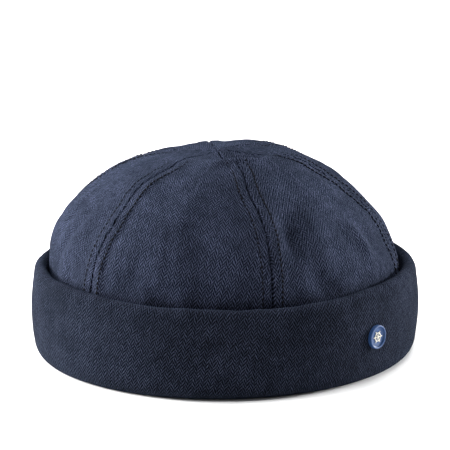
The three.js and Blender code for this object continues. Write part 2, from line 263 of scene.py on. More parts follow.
def seam_relief(from_seam, down, side):
    """The form beside a seam: the groove of the seam itself, the band over the allowance, which the stitching
    ends, and the puckers that it draws. side is a number of its own for each edge of each panel."""
    row, edge = STITCH["from_seam"], np.asarray(side).astype(int)
    full = TIP_SHARE["band"] + (1 - TIP_SHARE["band"]) * step_up(down, *TIP_FADE)
    relief = ALLOWANCE["rise"] * full * (1 - step_up(from_seam, row, row + ALLOWANCE["step"]))
    drawn = np.take(SEAM_DRAWN, edge // 2, mode="wrap")
    uneven = SEAM_WAVER["mean"] + waves_along_seam(SEAM_WAVER, down, side)
    relief -= SEAM_GROOVE["depth"] * drawn * uneven * np.exp(-(from_seam / SEAM_GROOVE["width"]) ** 2)
    pull = 1 + STITCH_GROOVE["pull"] * np.cos(2 * math.pi * down / STITCH["pitch"])
    pull *= full * np.take(ROW_DRAWN, edge, mode="wrap")
    relief -= STITCH_GROOVE["depth"] * pull * np.exp(-((from_seam - row) / STITCH_GROOVE["width"]) ** 2)
    slanting = down + PUCKER_SLANT * from_seam
    puckers = sum(waves_along_seam(kind, slanting, side) for kind in PUCKERS)
    puckers *= TIP_SHARE["puckers"] + (1 - TIP_SHARE["puckers"]) * full
    puckers *= np.exp(-(from_seam / PUCKER_REACH["from_seam"]) ** 2)
    held = PUCKER_REACH["held"] * np.exp(-(from_seam / PUCKER_REACH["held_by_seam"]) ** 2)
    return relief + puckers * (1 - held)


def crown_relief(azimuth, angle):
    """The wrinkles that only the dressed cap has: soft waves and creases all over, upright ones low down,
    long ones up the sides and the back, and a crumpled top."""
    x, y, z = np.moveaxis(smooth_crown(azimuth, angle), -1, 0)
    relief = waves(SOFT_WAVES, (x, y, z)) + waves(SMALL_WAVES, (x, y, z))
    around = np.sin(azimuth) * WRINKLE_CIRCLE, np.cos(azimuth) * WRINKLE_CIRCLE
    relief += (1 - step_up(angle, *UPRIGHT_WRINKLES["until"])) * waves(UPRIGHT_WRINKLES, (*around, z))
    sides = 0.5 - 0.5 * np.cos(azimuth - SMOOTHEST)
    for kind, points, share in ((LONG_WRINKLES, (*around, z), sides), (TOP_WRINKLES, (x, y, z), 1)):
        between = step_up(angle, *kind["after"]) * (1 - step_up(angle, *kind["until"]))
        relief += between * share * waves(kind, points)
    return relief + fold_depth(CROWN_CREASES, azimuth, angle)


SAME_POINT = 0.002  # points nearer than this are joined
CLOTH_EDGE = math.radians(60)  # a sharper turn than this between faces is a cut edge


def woven_mesh(name, patches):
    """A closed mesh from grids of points in millimetres, each with the grid of its places in the flat cloth.
    Points of neighbouring grids that coincide are joined."""
    points, cloth, faces, start = [], [], [], 0
    for grid, flat in patches:
        rows, columns = grid.shape[:2]
        index = start + np.arange(rows * columns).reshape(rows, columns)
        corners = [index[:-1, :-1], index[:-1, 1:], index[1:, 1:], index[1:, :-1]]
        faces.append(np.stack(corners, -1).reshape(-1, 4))
        points.append(grid.reshape(-1, 3))
        cloth.append(flat.reshape(-1, 2))
        start += rows * columns
    mesh = bpy.data.meshes.new(name)
    mesh.from_pydata((np.concatenate(points) * MM).tolist(), [], np.concatenate(faces).tolist())
    corner_points = np.empty(len(mesh.loops), dtype=np.int32)
    mesh.loops.foreach_get("vertex_index", corner_points)
    uv = mesh.uv_layers.new(name="cloth")
    uv.data.foreach_set("uv", (np.concatenate(cloth) * MM)[corner_points].ravel())
    work = bmesh.new()
    work.from_mesh(mesh)
    bmesh.ops.remove_doubles(work, verts=work.verts, dist=SAME_POINT * MM)
    bmesh.ops.recalc_face_normals(work, faces=work.faces)
    work.to_mesh(mesh)
    work.free()
    mesh.shade_smooth()
    mesh.set_sharp_from_angle(angle=CLOTH_EDGE)
    return mesh


def put_in_scene(name, data):
    """An object for a mesh, a light or a camera, linked into the scene."""
    made = bpy.data.objects.new(name, data)
    bpy.context.scene.collection.objects.link(made)
    return made


def linear(hex_colour, alpha=1):
    """An sRGB hex colour as the linear values that a shader takes."""
    parts = [int(hex_colour[k:k + 2], 16) / 255 for k in (1, 3, 5)]
    return (*(c / 12.92 if c <= 0.04045 else ((c + 0.055) / 1.055) ** 2.4 for c in parts), alpha)


def add_node(tree, kind, settings=None, inputs=None):
    """Adds a node with its settings. An input takes a value, a socket, or a node for its first output."""
    made = tree.nodes.new(kind)
    for name, value in (settings or {}).items():
        setattr(made, name, value)
    for key, value in (inputs or {}).items():
        if isinstance(value, bpy.types.Node):
            value = value.outputs[0]
        if isinstance(value, bpy.types.NodeSocket):
            tree.links.new(value, made.inputs[key])
        else:
            made.inputs[key].default_value = value
    return made


def bare_material(name):
    """A material with an empty node tree, and that tree."""
    material = bpy.data.materials.new(name)
    material.use_nodes = True
    material.node_tree.nodes.clear()
    return material, material.node_tree


# The cloth is a 2/2 herringbone twill in dyed wool and polyester yarn. Paler warp threads float over two
# darker weft threads at a time, each float one pick higher than the last, and every five threads the lines
# turn back. Loose fibres cover its face. They scatter all gloss, so it has next to none, and catch light at
# a glancing angle. The spacing of its threads is about the real one, in millimetres.
TWILL = {"warp": 0.372, "pick": 0.55, "threads": 5, "picks": 4, "weft_height": 0.6, "relief": 0.45}
CROWN_GRAIN = 4  # degrees that the cloth of the panels runs off their middle lines


def herringbone_twill(name, lean, warp_colour, weft_colour):
    material, tree = bare_material(name)
    maths = "ShaderNodeMath"

    # Places in the flat cloth in millimetres, turned to the grain, with the small drift of soft yarn
    flat = add_node(tree, "ShaderNodeUVMap", {"uv_map": "cloth"})
    grain = add_node(tree, "ShaderNodeMapping", {}, {
        "Vector": flat, "Rotation": (0, 0, math.radians(lean)), "Scale": (1 / MM, 1 / MM, 1),
    })
    drift = add_node(tree, "ShaderNodeTexNoise", {}, {"Vector": grain, "Scale": 0.22, "Detail": 2.0})
    drift = add_node(tree, "ShaderNodeVectorMath", {"operation": "MULTIPLY_ADD"}, {
        0: drift.outputs["Color"], 1: (1.3, 1.3, 0), 2: grain,
    })
    places = add_node(tree, "ShaderNodeSeparateXYZ", {}, {0: drift})
    u, v = places.outputs[0], places.outputs[1]

    # The threads of one column, counted up and then down again, and the columns themselves
    column_width = TWILL["warp"] * TWILL["threads"]
    repeat = TWILL["pick"] * TWILL["picks"]
    across = add_node(tree, maths, {"operation": "PINGPONG"}, {0: u, 1: column_width})
    column = add_node(tree, maths, {"operation": "DIVIDE"}, {0: u, 1: column_width})
    column = add_node(tree, maths, {"operation": "FLOOR"}, {0: column})
    odd = add_node(tree, maths, {"operation": "FLOORED_MODULO"}, {0: column, 1: 2})
    thread = add_node(tree, maths, {"operation": "DIVIDE"}, {0: across, 1: TWILL["warp"]})
    thread = add_node(tree, maths, {"operation": "FLOOR"}, {0: thread})
    climb = add_node(tree, maths, {"operation": "MULTIPLY_ADD"}, {0: thread, 1: TWILL["pick"], 2: v})
    climb = add_node(tree, maths, {"operation": "MULTIPLY_ADD"}, {0: odd, 1: repeat / 2, 2: climb})

    # Warp on top where the wave is above zero, weft where it is below
    wave = add_node(tree, maths, {"operation": "MULTIPLY"}, {0: climb, 1: 2 * math.pi / repeat})
    wave = add_node(tree, maths, {"operation": "SINE"}, {0: wave})
    warp_up = add_node(tree, "ShaderNodeMapRange", {"interpolation_type": "SMOOTHSTEP"}, {
        0: wave, 1: -0.35, 2: 0.4,
    })
    rounded_threads = []
    for position, spacing in ((u, TWILL["warp"]), (v, TWILL["pick"])):
        crest = add_node(tree, maths, {"operation": "MULTIPLY"}, {0: position, 1: math.pi / spacing})
        crest = add_node(tree, maths, {"operation": "SINE"}, {0: crest})
        rounded_threads.append(add_node(tree, maths, {"operation": "ABSOLUTE"}, {0: crest}))
    over = add_node(tree, maths, {"operation": "MULTIPLY"}, {0: warp_up, 1: rounded_threads[0]})
    under = add_node(tree, maths, {"operation": "SUBTRACT"}, {0: 1.0, 1: warp_up})
    under = add_node(tree, maths, {"operation": "MULTIPLY"}, {0: under, 1: rounded_threads[1]})
    height = add_node(tree, maths, {"operation": "MULTIPLY_ADD"}, {
        0: under, 1: TWILL["weft_height"], 2: over,
    })

    # Uneven yarn: each float has a number of its own, each thread drifts along itself and has thick and
    # thin places about 0.5 mm long, and patches about 18 mm across are worn
    float_number = add_node(tree, maths, {"operation": "DIVIDE"}, {0: climb, 1: repeat})
    float_number = add_node(tree, maths, {"operation": "FLOOR"}, {0: float_number})
    warp_number = add_node(tree, maths, {"operation": "DIVIDE"}, {0: u, 1: TWILL["warp"]})
    warp_number = add_node(tree, maths, {"operation": "FLOOR"}, {0: warp_number})
    cell = add_node(tree, "ShaderNodeCombineXYZ", {}, {0: warp_number, 1: float_number})
    cell = add_node(tree, "ShaderNodeTexWhiteNoise", {"noise_dimensions": "2D"}, {"Vector": cell})
    yarn = add_node(tree, "ShaderNodeVectorMath", {"operation": "MULTIPLY"}, {0: grain, 1: (1.1, 0.12, 0)})
    yarn = add_node(tree, "ShaderNodeTexNoise", {}, {"Vector": yarn, "Scale": 1.0, "Detail": 2.0})
    slub = add_node(tree, "ShaderNodeTexNoise", {}, {"Vector": grain, "Scale": 2.0, "Detail": 1.0})
    place = add_node(tree, "ShaderNodeTexCoord").outputs["Object"]
    wear = add_node(tree, "ShaderNodeTexNoise", {}, {"Vector": place, "Scale": 55.0, "Detail": 4.0})

    # Each of these darkens or pales the cloth within its own range. The last is painted shade: the cloth is
    # drawn darker in between the threads, where light hardly reaches
    shade = 1.0
    for value, low, high, darkest, palest in (
        (cell.outputs["Value"], 0, 1, 0.55, 1.45),
        (yarn, 0.25, 0.75, 0.75, 1.25),
        (wear, 0.3, 0.7, 0.72, 1.3),
        (slub, 0.3, 0.7, 0.45, 1.6),
        # painted shade in between the threads
        (height, 0.2, 0.95, 0.3, 1.4),
    ):
        part = add_node(tree, "ShaderNodeMapRange", {}, {0: value, 1: low, 2: high, 3: darkest, 4: palest})
        shade = add_node(tree, maths, {"operation": "MULTIPLY"}, {0: shade, 1: part})

    thread_colour = add_node(tree, "ShaderNodeMix", {"data_type": "RGBA"}, {
        "Factor": warp_up, 6: linear(weft_colour), 7: linear(warp_colour),
    })
    colour = add_node(tree, "ShaderNodeVectorMath", {"operation": "SCALE"}, {
        0: thread_colour.outputs[2], "Scale": shade,
    })
    relief = add_node(tree, "ShaderNodeBump", {}, {
        "Strength": 1.0, "Distance": TWILL["relief"] * MM, "Height": height,
    })
    shader = add_node(tree, "ShaderNodeBsdfPrincipled", {}, {
        "Base Color": colour, "Roughness": 0.92, "Normal": relief, "Specular IOR Level": 0.01,
        "Sheen Weight": 0.05, "Sheen Roughness": 0.4, "Sheen Tint": linear("#8fb0dc"),
    })
    add_node(tree, "ShaderNodeOutputMaterial", {}, {"Surface": shader})
    return material


twill = herringbone_twill("navy_herringbone_twill", CROWN_GRAIN, "#3f4559", "#10121b")

# Columns across half a panel: close together at the seam groove and the row of stitches, wider between
EDGE_STEPS = [0, 0.25, 0.55, 0.9, 1.3, 1.9, 2.8, 3.7, 4.3, 4.7, 5, 5.3, 5.6, 5.9, 6.3, 7]
FIELD_STEPS = 36
PANEL_ROWS = 230
CLOSER_AT_TIP = 1.15  # above 1, the rows of points lie closer together near the apex
EDGE_SHARE = 0.8  # how much of a panel's half width the columns of EDGE_STEPS may take near its tip
INNER_FACE = {"share": 0.5, "most": 0.3}  # how much of the outer relief, and of what height, shows inside


def crown_grid(number, from_seam, to_seam):
    """For each point of one panel's grid: azimuth, angle, distance from the nearest seam, distance down from
    the apex, distance from the panel's middle line, and whether the seam allowance lies behind it."""
    part = np.linspace(0, 1, PANEL_ROWS + 1)
    angle = (CROWN_EDGE_ANGLE + (90 - CROWN_EDGE_ANGLE) * (1 - (1 - part) ** CLOSER_AT_TIP))[:, None]
    radius = np.maximum(crown_radius(angle), 1e-3)  # at the apex too there is something to divide by
    half = radius * math.radians(to_seam - from_seam) / 2
    edge = np.array(EDGE_STEPS)
    fit = np.minimum(1, EDGE_SHARE * half / edge[-1])
    field = np.linspace(0, 1, FIELD_STEPS // 2 + 1)[1:]
    near = edge[None] * fit
    far = near[:, -1:] + (half - near[:, -1:]) * field[None]
    across = np.concatenate([near, far], 1)
    from_seam_mm = np.concatenate([across, across[:, -2::-1]], 1)
    place = np.concatenate([across, 2 * half - across[:, -2::-1]], 1)
    opens = []
    for seam in (number, number + 1):
        open_half = SEAM_GROOVE["open"] * SEAM_DRAWN[seam % len(PANELS)] / 2
        opens.append(np.minimum(open_half, SEAM_GROOVE["most_open"] * half))
    narrowed = 1 - sum(opens) / (2 * half)
    azimuth = math.radians(from_seam) + (opens[0] + place * narrowed) / radius
    azimuth[-1] = math.radians(from_seam + to_seam) / 2
    doubled = from_seam_mm < ALLOWANCE["width"] * fit
    angle, down = np.broadcast_arrays(angle, down_from_apex(angle), azimuth)[:2]
    return azimuth, angle, from_seam_mm, down, place - half, doubled


def crown_panel(name, number, from_seam, to_seam):
    azimuth, angle, from_seam_mm, down, aside, doubled = crown_grid(number, from_seam, to_seam)
    first_half = np.arange(azimuth.shape[1]) < azimuth.shape[1] // 2
    side = np.where(first_half, 2 * number + 1, 2 * number + 2)[None] + 0 * azimuth
    azimuth, angle = place_on_form(azimuth, angle)
    even, normal = smooth_crown(azimuth, angle), crown_normal(azimuth, angle)
    folds = fold_depth(CROWN_FOLDS, azimuth, angle)
    relief = crown_relief(azimuth, angle) + seam_relief(from_seam_mm, down, side)
    behind = CROWN_WALL + ALLOWANCE["thickness"] * doubled
    behind = np.where(from_seam_mm == 0, behind + SEAM_GROOVE["tuck"], behind)
    outer = even + normal * (folds + relief)[..., None]
    inner_relief = INNER_FACE["share"] * np.minimum(relief, INNER_FACE["most"])
    inner = even + normal * (folds + inner_relief - behind)[..., None]
    flat = np.stack([aside, -down], -1)
    patches = [
        (outer, flat),
        (inner[::-1], flat[::-1]),
        (np.stack([inner[0], outer[0]]), np.stack([flat[0], flat[0]])),
        (np.stack([outer[:, 0], inner[:, 0]], 1), np.stack([flat[:, 0]] * 2, 1)),
        (np.stack([inner[:, -1], outer[:, -1]], 1), np.stack([flat[:, -1]] * 2, 1)),
    ]
    panel = put_in_scene(name, woven_mesh(name, patches))
    panel.data.materials.append(twill)
    widths = 2 * np.abs(aside[:, 0]) + 2 * ALLOWANCE["width"]
    heights = -np.diff(down[:, 0])
    area = float((heights * (widths[1:] + widths[:-1]) / 2).sum())
    length = float(down[0, 0] + ALLOWANCE["width"])
    return panel, (float(widths.max()) * MM, length * MM), area * MM * MM


for number, panel_name in enumerate(PANELS):
    piece, cut, cut_area = crown_panel(f"crown_{panel_name}", number, SEAMS[number], SEAMS[number + 1])
    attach(piece, "root")
    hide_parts(f"crown_panel_{panel_name}")

# Topstitching of the crown
# Two rows of lockstitch in dark polyester thread along every seam, one on each side of it, which hold the
# pressed allowances down. Each stitch lies in the furrow that it pulls into the cloth.

def sewing_thread(name):
    """Spun polyester thread, dull, dyed darker than the cloth, with a ply about every 0.4 mm. Its near-black
    is partly painted shade.
    """
    material, tree = bare_material(name)
    place = add_node(tree, "ShaderNodeTexCoord")
    ply = add_node(tree, "ShaderNodeTexWave", {"bands_direction": "DIAGONAL"}, {
        "Vector": place.outputs["Object"], "Scale": 900.0, "Distortion": 1.0,
    })
    colour = add_node(tree, "ShaderNodeMix", {"data_type": "RGBA"}, {
        "Factor": ply.outputs["Fac"], 6: linear("#020308"), 7: linear("#05070e"),
    })
    relief = add_node(tree, "ShaderNodeBump", {}, {
        "Strength": 0.5, "Distance": 0.05 * MM, "Height": ply.outputs["Fac"],
    })
    shader = add_node(tree, "ShaderNodeBsdfPrincipled", {}, {
        "Base Color": colour.outputs[2], "Roughness": 0.8, "Normal": relief, "Specular IOR Level": 0.1,
    })
    add_node(tree, "ShaderNodeOutputMaterial", {}, {"Surface": shader})
    return material


def input_sockets(tree, sockets):
    """Gives a node group its named inputs and one geometry output."""
    tree.interface.new_socket(name="Geometry", in_out="OUTPUT", socket_type="NodeSocketGeometry")
    made = {}
    for name, kind in sockets:
        made[name] = tree.interface.new_socket(name=name, in_out="INPUT", socket_type=kind).identifier
    return made


def topstitch_tree():
    """Lays a stitch at every point of the lines that it is given."""
    tree = bpy.data.node_groups.new("topstitch", "GeometryNodeTree")
    names = input_sockets(tree, [
        ("Path", "NodeSocketGeometry"), ("Length", "NodeSocketFloat"),
        ("Radius", "NodeSocketFloat"), ("Tilt", "NodeSocketFloat"), ("Seed", "NodeSocketInt"),
        ("Thread", "NodeSocketMaterial"),
    ])
    given = add_node(tree, "NodeGroupInput").outputs
    path = add_node(tree, "GeometryNodeMeshToCurve", {}, {0: given["Path"]})
    places = add_node(tree, "GeometryNodeCurveToPoints", {"mode": "EVALUATED"}, {"Curve": path})
    half = add_node(tree, "ShaderNodeMath", {"operation": "MULTIPLY"}, {0: given["Length"], 1: 0.5})
    size = add_node(tree, "ShaderNodeCombineXYZ", {}, {0: given["Radius"], 1: given["Radius"], 2: half})
    thread = add_node(tree, "GeometryNodeMeshUVSphere", {}, {"Segments": 8, "Rings": 6, "Radius": 1.0})
    thread = add_node(tree, "GeometryNodeTransform", {}, {"Geometry": thread, "Scale": size})
    stitches = add_node(tree, "GeometryNodeInstanceOnPoints", {}, {
        "Points": places, "Instance": thread, "Rotation": places.outputs["Rotation"],
    })
    least = add_node(tree, "ShaderNodeMath", {"operation": "MULTIPLY"}, {0: given["Tilt"], 1: -1.0})
    low = add_node(tree, "ShaderNodeCombineXYZ", {}, {0: least, 1: least})
    high = add_node(tree, "ShaderNodeCombineXYZ", {}, {0: given["Tilt"], 1: given["Tilt"]})
    turn = add_node(tree, "FunctionNodeRandomValue", {"data_type": "FLOAT_VECTOR"}, {
        0: low, 1: high, "Seed": given["Seed"],
    })
    stitches = add_node(tree, "GeometryNodeRotateInstances", {}, {"Instances": stitches, "Rotation": turn})
    solid = add_node(tree, "GeometryNodeRealizeInstances", {}, {0: stitches})
    done = add_node(tree, "GeometryNodeSetMaterial", {}, {"Geometry": solid, "Material": given["Thread"]})
    add_node(tree, "NodeGroupOutput", {}, {0: done})
    return tree, names


def grown(name, path, tree, names, values):
    """Runs a node group on a mesh and returns its result as an object with a plain mesh."""
    source = put_in_scene(name + "_path", path)
    modifier = source.modifiers.new("grow", "NODES")
    modifier.node_group = tree
    for key, value in values.items():
        modifier[names[key]] = value
    source.update_tag()
    seen = source.evaluated_get(bpy.context.evaluated_depsgraph_get())
    mesh = bpy.data.meshes.new_from_object(seen)
    mesh.name = name
    source.modifiers.remove(modifier)
    bpy.data.objects.remove(source)
    return put_in_scene(name, mesh)


LOWEST_STITCH = -6  # angle on the crown, behind the cuff's rim


def stitch_lines():
    """A line along both sides of every seam, with a point at each stitch, from behind the cuff's rim to where
    the rows of one panel meet."""
    points, edges = [], []
    row, pitch = STITCH["from_seam"], STITCH["pitch"]
    for number, seam in enumerate(SEAMS[:-1]):
        for side in (-1, 1):
            panel = number if side > 0 else (number - 1) % len(PANELS)
            half_wedge = math.radians(SEAMS[panel + 1] - SEAMS[panel]) / 2
            down = np.arange(0.5, ARC[-1] / pitch) * pitch
            angle = np.interp(down, ARC, ARC_ANGLES)
            sewn = (angle > LOWEST_STITCH) & (crown_radius(angle) * half_wedge > row)
            down, angle = down[sewn], angle[sewn]
            azimuth = math.radians(seam) + side * row / crown_radius(angle)
            edge = 2 * panel + (1 if side > 0 else 2)
            azimuth, angle = place_on_form(azimuth, angle)
            out = fold_depth(CROWN_FOLDS, azimuth, angle) + crown_relief(azimuth, angle)
            out += seam_relief(np.full(down.shape, row), down, np.full(down.shape, edge)) + STITCH["proud"]
            slack = max(0, PLAIN_ROW - ROW_DRAWN[edge % len(ROW_DRAWN)])
            out -= STITCH_SUNK["at_tip"] * (1 - step_up(down, *TIP_FADE)) + STITCH_SUNK["where_slack"] * slack
            line = smooth_crown(azimuth, angle) + crown_normal(azimuth, angle) * out[:, None]
            start = len(points)
            points += (line * MM).tolist()
            edges += [(start + k, start + k + 1) for k in range(len(line) - 1)]
    path = bpy.data.meshes.new("stitch_lines")
    path.from_pydata(points, edges, [])
    return path


# The thread is dyed dark, and its near-black is also painted shade for the holes the stitches pull into the
# cloth.
thread_dark_and_painted_shade = sewing_thread("dark_navy_sewing_thread_and_painted_shade")
stitching_tree, stitching_names = topstitch_tree()
crown_stitching = grown("crown_topstitching", stitch_lines(), stitching_tree, stitching_names, {
    "Length": STITCH["length"] * MM, "Radius": STITCH["radius"] * MM, "Tilt": STITCH["tilt"], "Seed": 4,
    "Thread": thread_dark_and_painted_shade,
})
crown_stitching.data.shade_smooth()
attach(crown_stitching, "root")

# Cuff
# One band of the same twill, joined in a seam at the centre back, sewn to the crown's lower edge inside and
# turned up all round. The cap stands on its bottom fold, and its rim is folded over and in, which leaves it
# soft and full. Its cloth is drawn darker than the crown's, as painted shade for the lesser light it gets.

CUFF_WALL = 1.6
CUFF_HEIGHT = 49.3
CUFF_FACE = {"foot": 13.5, "rim": 13.4, "bow": 1.3}
RIM_OUTER = (4.2, 6.6)  # half axes of each quarter of a fold, out from the cap and up
RIM_INNER = (1.6, 2.5)
OUTER_CORNER = (5.2, 7.4)
INNER_CORNER = (3.4, 4.0)
HIDDEN_LAYER = {"out": 7.6, "end": 11}
CROWN_GAP = 0.6  # below the crown's edge
RIM_WAVES = [0.5, -0.8, -1, 0.4, 0.6, 0, -0.3, 0, 0.3, 0.1, 0.5, 1]  # the rim's rise, from the front on
CUFF_WAVES = [
    {"height": 0.7, "size": (38, 38, 26), "seed": 11, "above": (4, 14)},
    {"height": 0.3, "size": (9, 9, 22), "seed": 12, "above": (4, 14)},
    {"height": 0.6, "size": (13, 13, 60), "seed": 13, "above": (36, 46)},
]
BACK_SEAM = {"rise": 0.35, "reach": 7, "depth": 1.1, "width": 0.9}
CUFF_COLUMNS = 480
CUFF_STEP = 1.35  # distance between the points of its section, which is first drawn finer
CORNER_POINTS, FACE_POINTS = 60, 80
CUFF_GRAIN = 7.5  # degrees that its cloth runs off the upright

# The cuff's copy of the twill is drawn darker all over than the crown's: painted shade.
cuff_twill_painted_shade = herringbone_twill("navy_herringbone_twill_cuff_painted_shade", CUFF_GRAIN, "#303443", "#050609")


def cuff_line():
    """The middle of the cloth, out from the inner leg and up, from the crown's edge to the hidden layer."""
    half = CUFF_WALL / 2
    crown_edge = float(smooth_crown(np.zeros(1), np.array([CROWN_EDGE_ANGLE]))[0, 2])
    top = CUFF_HEIGHT - half

    def corner(x, y, size, start, end):
        turn = np.radians(np.linspace(start, end, CORNER_POINTS))
        return np.stack([x + size[0] * np.cos(turn), y + size[1] * np.sin(turn)], -1)

    # Down the leg and round the bottom fold, up the bowed face, over the rim and down behind it
    inner = corner(INNER_CORNER[0], half + INNER_CORNER[1], INNER_CORNER, 180, 270)
    outer = corner(CUFF_FACE["foot"] - OUTER_CORNER[0], half + OUTER_CORNER[1], OUTER_CORNER, 270, 360)
    t = np.linspace(0, 1, FACE_POINTS)[:, None]
    foot, rim = outer[-1], np.array([CUFF_FACE["rim"], top - RIM_OUTER[1]])
    bow = (foot + rim) / 2 + [2 * CUFF_FACE["bow"], 0]
    face = (1 - t) ** 2 * foot + 2 * t * (1 - t) * bow + t ** 2 * rim
    roll_outer = corner(rim[0] - RIM_OUTER[0], rim[1], RIM_OUTER, 0, 90)
    roll_inner = corner(rim[0] - RIM_OUTER[0], top - RIM_INNER[1], RIM_INNER, 90, 180)
    start = np.array([[0, crown_edge - CROWN_GAP]])
    end = np.array([[HIDDEN_LAYER["out"], HIDDEN_LAYER["end"]]])
    line = np.concatenate([start, inner, outer, face[1:], roll_outer[1:], roll_inner[1:], end])
    gone = np.concatenate([[0], np.cumsum(np.linalg.norm(np.diff(line, axis=0), axis=1))])
    even = np.linspace(0, gone[-1], int(gone[-1] / CUFF_STEP) + 1)
    return np.stack([np.interp(even, gone, line[:, k]) for k in (0, 1)], -1), even


def cuff_grid():
    """The outer and inner skins of the cuff, as grids of points, with their places in the flat band."""
    line, along = cuff_line()
    ahead = np.gradient(line, axis=0)
    ahead /= np.linalg.norm(ahead, axis=1, keepdims=True)
    aside = np.stack([ahead[:, 1], -ahead[:, 0]], -1)
    azimuth = math.pi + np.linspace(0, 2 * math.pi, CUFF_COLUMNS + 1)[:, None]
    radius = HEAD_RADIUS + line[None, :, 0]
    x, y = oval_point(radius, azimuth)
    z = line[None, :, 1] + 0 * x
    relief = sum(step_up(z, *kind["above"]) * waves(kind, (x, y, z)) for kind in CUFF_WAVES)
    from_back = np.abs(np.linspace(-1, 1, CUFF_COLUMNS + 1))[:, None]
    from_back = (1 - from_back) * math.pi * HEAD_RADIUS
    relief += BACK_SEAM["rise"] * np.exp(-(from_back / BACK_SEAM["reach"]) ** 4)
    relief -= BACK_SEAM["depth"] * np.exp(-(from_back / BACK_SEAM["width"]) ** 2)
    turns = azimuth % (2 * math.pi) / (2 * math.pi)
    rise = smoothly(RIM_WAVES[-1:] + RIM_WAVES, turns * len(RIM_WAVES))
    skins = []
    for half in (CUFF_WALL / 2, -CUFF_WALL / 2):
        out = line[None, :, 0] + aside[None, :, 0] * (half + relief)
        up = line[None, :, 1] + aside[None, :, 1] * (half + relief)
        plan_x, plan_y = oval_point(HEAD_RADIUS, azimuth)
        normal_x, normal_y = LENGTH_OVER_WIDTH * np.sin(azimuth), -np.cos(azimuth)
        size = np.hypot(normal_x, normal_y)
        skins.append(np.stack([
            plan_x + normal_x / size * out,
            plan_y + normal_y / size * out,
            np.maximum(up + rise * (np.maximum(up, 0) / CUFF_HEIGHT) ** 2, 0),
        ], -1))
    face_radius = HEAD_RADIUS + CUFF_FACE["foot"]
    flat = np.stack(np.broadcast_arrays((azimuth - math.pi) * face_radius, along[None]), -1)
    return skins[0], skins[1], flat, radius, along


def cuff_band():
    outer, inner, flat, radius, along = cuff_grid()
    patches = [
        (outer, flat),
        (inner[:, ::-1], flat[:, ::-1]),
        (np.stack([inner[:, 0], outer[:, 0]], 1), np.stack([flat[:, 0]] * 2, 1)),
        (np.stack([outer[:, -1], inner[:, -1]], 1), np.stack([flat[:, -1]] * 2, 1)),
    ]
    band = put_in_scene("turned_up_cuff", woven_mesh("turned_up_cuff", patches))
    band.data.materials.append(cuff_twill_painted_shade)
    round_length = 2 * math.pi * float(radius.mean())
    return band, (round_length * MM, float(along[-1]) * MM)


cuff, cuff_cut = cuff_band()
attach(cuff, "root")
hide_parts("cuff")

# Badge
# A pressed metal disc with a raised rim, filled with navy stoving enamel, and a small ship's wheel in cream
# enamel let into it. A rivet through the cuff's outer face holds it, with a flat head behind the cloth.

BADGE = {"radius": 6.4, "thickness": 2.2, "rim": 0.8, "recess": 0.9, "rounding": 0.3, "sides": 72}
BADGE_PLACE = {"azimuth": math.radians(93.6), "height": 25}
RIVET = {"radius": 1.1, "head": 3, "head_thickness": 0.7}
WHEEL = {"ring": 2.5, "hub": 0.8, "bar": 0.5, "reach": 3.4, "thickness": 0.5, "spokes": 6}
PIECE_GAP = 0.3  # between the badge and the cloth on either side of it


def enamel(name, colour, speck_colour):
    """Stoving enamel, half glossy and slightly uneven, over pressed metal."""
    material, tree = bare_material(name)
    place = add_node(tree, "ShaderNodeTexCoord")
    cloudy = add_node(tree, "ShaderNodeTexNoise", {}, {
        "Vector": place.outputs["Object"], "Scale": 500.0, "Detail": 3.0,
    })
    tone = add_node(tree, "ShaderNodeMapRange", {}, {0: cloudy, 1: 0.35, 2: 0.65, 3: 0.0, 4: 0.35})
    mixed = add_node(tree, "ShaderNodeMix", {"data_type": "RGBA"}, {
        "Factor": tone, 6: linear(colour), 7: linear(speck_colour),
    })
    gloss = add_node(tree, "ShaderNodeMapRange", {}, {0: cloudy, 1: 0.35, 2: 0.65, 3: 0.42, 4: 0.58})
    relief = add_node(tree, "ShaderNodeBump", {}, {
        "Strength": 0.25, "Distance": 0.03 * MM, "Height": cloudy,
    })
    shader = add_node(tree, "ShaderNodeBsdfPrincipled", {}, {
        "Base Color": mixed.outputs[2], "Roughness": gloss, "Normal": relief, "Specular IOR Level": 0.3,
    })
    add_node(tree, "ShaderNodeOutputMaterial", {}, {"Surface": shader})
    return material


def badge_seat():
    """The place on the cuff's outer face where the badge sits, its z axis out of the cloth."""
    line, _ = cuff_line()
    face = float(line[:, 0].max()) + CUFF_WALL / 2 + PIECE_GAP
    a = BADGE_PLACE["azimuth"]
    outward = Vector((LENGTH_OVER_WIDTH * math.sin(a), -math.cos(a), 0)).normalized()
    up = Vector((0, 0, 1))
    aside = up.cross(outward)
    x, y = oval_point(HEAD_RADIUS, a)
    place = (Vector((x, y, BADGE_PLACE["height"])) + outward * face) * MM
    turn = Matrix((aside, up, outward)).transposed().to_4x4()
    return Matrix.Translation(place) @ turn


METAL_EDGE = math.radians(50)  # a sharper turn than this between faces is an edge of the badge


def turned(name, outline, sides):
    """A closed solid turned about its z axis. Its outline of radius and height starts and ends there."""
    points, faces = [(0, 0, outline[0][1])], []
    rings = outline[1:-1]
    for r, z in rings:
        points += [(r * math.cos(2 * math.pi * k / sides), r * math.sin(2 * math.pi * k / sides), z)
                   for k in range(sides)]
    points.append((0, 0, outline[-1][1]))
    last = len(points) - 1
    for k in range(sides):
        after = (k + 1) % sides
        faces.append((0, 1 + after, 1 + k))
        for ring in range(len(rings) - 1):
            low, high = 1 + ring * sides, 1 + (ring + 1) * sides
            faces.append((low + k, low + after, high + after, high + k))
        top = 1 + (len(rings) - 1) * sides
        faces.append((top + k, top + after, last))
    mesh = bpy.data.meshes.new(name)
    mesh.from_pydata([tuple(c * MM for c in p) for p in points], [], faces)
    work = bmesh.new()
    work.from_mesh(mesh)
    bmesh.ops.recalc_face_normals(work, faces=work.faces)
    work.to_mesh(mesh)
    work.free()
    mesh.shade_smooth()
    mesh.set_sharp_from_angle(angle=METAL_EDGE)
    return mesh


